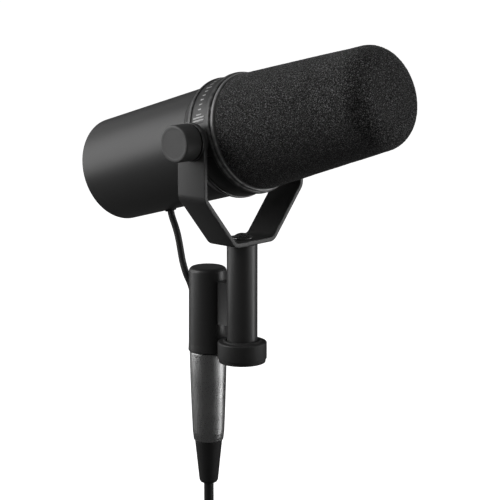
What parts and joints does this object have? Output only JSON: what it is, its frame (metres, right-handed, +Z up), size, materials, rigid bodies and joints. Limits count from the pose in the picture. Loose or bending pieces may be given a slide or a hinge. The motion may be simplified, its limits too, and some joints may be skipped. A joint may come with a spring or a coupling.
{
  "type": "microphone",
  "caption": "End-address broadcast microphone with a cylindrical body and long foam windscreen, tilting in a yoke on a threaded stand adapter, with an XLR inlet and its plugged cable.",
  "frame": {"origin": "centre of the captive stand nut's bottom face, on the axis of the stand thread", "axes": "+Z up along the adapter tube, -Y towards the address end, X along the tilt axis"},
  "size_m": [0.0972, 0.1955, 0.4064],
  "materials": {
    "black_paint": "satin black paint, fine orange peel",
    "satin_collar": "satin black, burnished at the edges",
    "label": "matt black band, blank",
    "ring_metal": "semi-gloss black ring with a bright worn edge",
    "foam": "open-cell foam, charcoal black",
    "cage_steel": "plain steel",
    "inner_plastic": "moulded black plastic",
    "inner_aluminium": "turned",
    "copper_winding": "enamelled copper wire",
    "shock_rubber": "soft moulded rubber",
    "circuit_board": "green solder mask",
    "switch_white": "moulded white plastic",
    "screw_steel": "zinc plated",
    "gland_rubber": "moulded rubber grommet",
    "yoke_paint": "satin black powder coat",
    "knob_black": "matt black knob, fine grain",
    "washer_black": "black rubber washer",
    "black_steel": "black oxide, slightly glossy",
    "tube_paint": "satin black paint",
    "nut_black": "matt black, finely knurled",
    "contact_metal": "gold flashed",
    "lead_jacket": "matt black jacket",
    "plug_nickel": "satin nickel, grainy",
    "boot_rubber": "matt black moulded boot",
    "cable_jacket": "matt black jacket",
    "tie_fabric": "black hook-and-loop strap"
  },
  "bodies": {
    "mount": {"yoke": "yoke_paint", "knob_washer_left": "washer_black", "knob_washer_right": "washer_black", "yoke_bolt": "black_steel", "bolt_washer": "black_steel", "adapter_tube": "tube_paint", "nut_retaining_flange": "screw_steel", "inlet_housing": "tube_paint", "inlet_bracket": "yoke_paint", "inlet_insert": "inner_plastic", "inlet_pin_1": "contact_metal", "inlet_pin_2": "contact_metal", "inlet_pin_3": "contact_metal", "inlet_lead_gland": "gland_rubber", "mic_lead": "lead_jacket"},
    "head": {"body_housing": "black_paint", "front_collar": "satin_collar", "label_band_upper": "label", "label_band_lower": "label", "retaining_ring": "ring_metal", "grille_cage": "cage_steel", "front_bulkhead": "inner_plastic", "isolation_tube": "inner_aluminium", "cartridge": "inner_aluminium", "cartridge_cap": "inner_plastic", "hum_cancelling_coil": "copper_winding", "front_shock_mount": "shock_rubber", "rear_shock_mount": "shock_rubber", "rear_bulkhead": "inner_plastic", "transformer": "cage_steel", "switch_board": "circuit_board", "rear_plate": "black_paint", "low_cut_switch": "inner_plastic", "presence_switch": "inner_plastic", "rear_screw_1": "screw_steel", "rear_screw_2": "screw_steel", "rear_screw_3": "screw_steel", "body_lead_gland": "gland_rubber", "pivot_boss_left": "black_paint", "pivot_boss_right": "black_paint"},
    "windscreen": {"foam_windscreen": "foam"},
    "low_cut": {"low_cut_slider": "switch_white"},
    "presence": {"presence_slider": "switch_white"},
    "left_knob": {"knob_left": "knob_black"},
    "right_knob": {"knob_right": "knob_black"},
    "captive_nut": {"stand_nut": "nut_black"},
    "cable": {"plug_shell": "plug_nickel", "plug_insert": "inner_plastic", "plug_boot": "boot_rubber", "cable_drop": "cable_jacket", "cable_coil": "cable_jacket", "coil_tie": "tie_fabric", "cable_tail": "cable_jacket", "far_boot": "boot_rubber", "far_shell": "plug_nickel", "far_insert": "inner_plastic", "far_pin_1": "contact_metal", "far_pin_2": "contact_metal", "far_pin_3": "contact_metal"},
    "latch": {"plug_latch": "plug_nickel"}
  },
  "joints": [
    {"name": "mic_tilt", "type": "hinge", "parent": "mount", "child": "head", "pos_m": [0, 0, 0.1175], "axis": [1, 0, 0], "range_deg": [-18, 40], "deforming": ["mic_lead"]},
    {"name": "windscreen_pull", "type": "slide", "parent": "head", "child": "windscreen", "axis": [0, -0.9613, 0.2756], "range_m": [0, 0.1]},
    {"name": "low_cut_slide", "type": "slide", "parent": "head", "child": "low_cut", "axis": [-1, 0, 0], "range_m": [0, 0.004]},
    {"name": "presence_slide", "type": "slide", "parent": "head", "child": "presence", "axis": [-1, 0, 0], "range_m": [0, 0.004]},
    {"name": "left_knob_turn", "type": "hinge", "parent": "mount", "child": "left_knob", "pos_m": [0, 0, 0.1175], "axis": [-1, 0, 0], "continuous": true},
    {"name": "right_knob_turn", "type": "hinge", "parent": "mount", "child": "right_knob", "pos_m": [0, 0, 0.1175], "axis": [1, 0, 0], "continuous": true},
    {"name": "stand_nut_turn", "type": "hinge", "parent": "mount", "child": "captive_nut", "pos_m": [0, 0, 0], "axis": [0, 0, 1], "continuous": true},
    {"name": "plug_pull", "type": "slide", "parent": "mount", "child": "cable", "axis": [0, 0, -1], "range_m": [0, 0.02]},
    {"name": "latch_press", "type": "slide", "parent": "cable", "child": "latch", "axis": [0, -1, 0], "range_m": [0, 0.0012], "stiffness_N_per_m": 400}
  ]
}
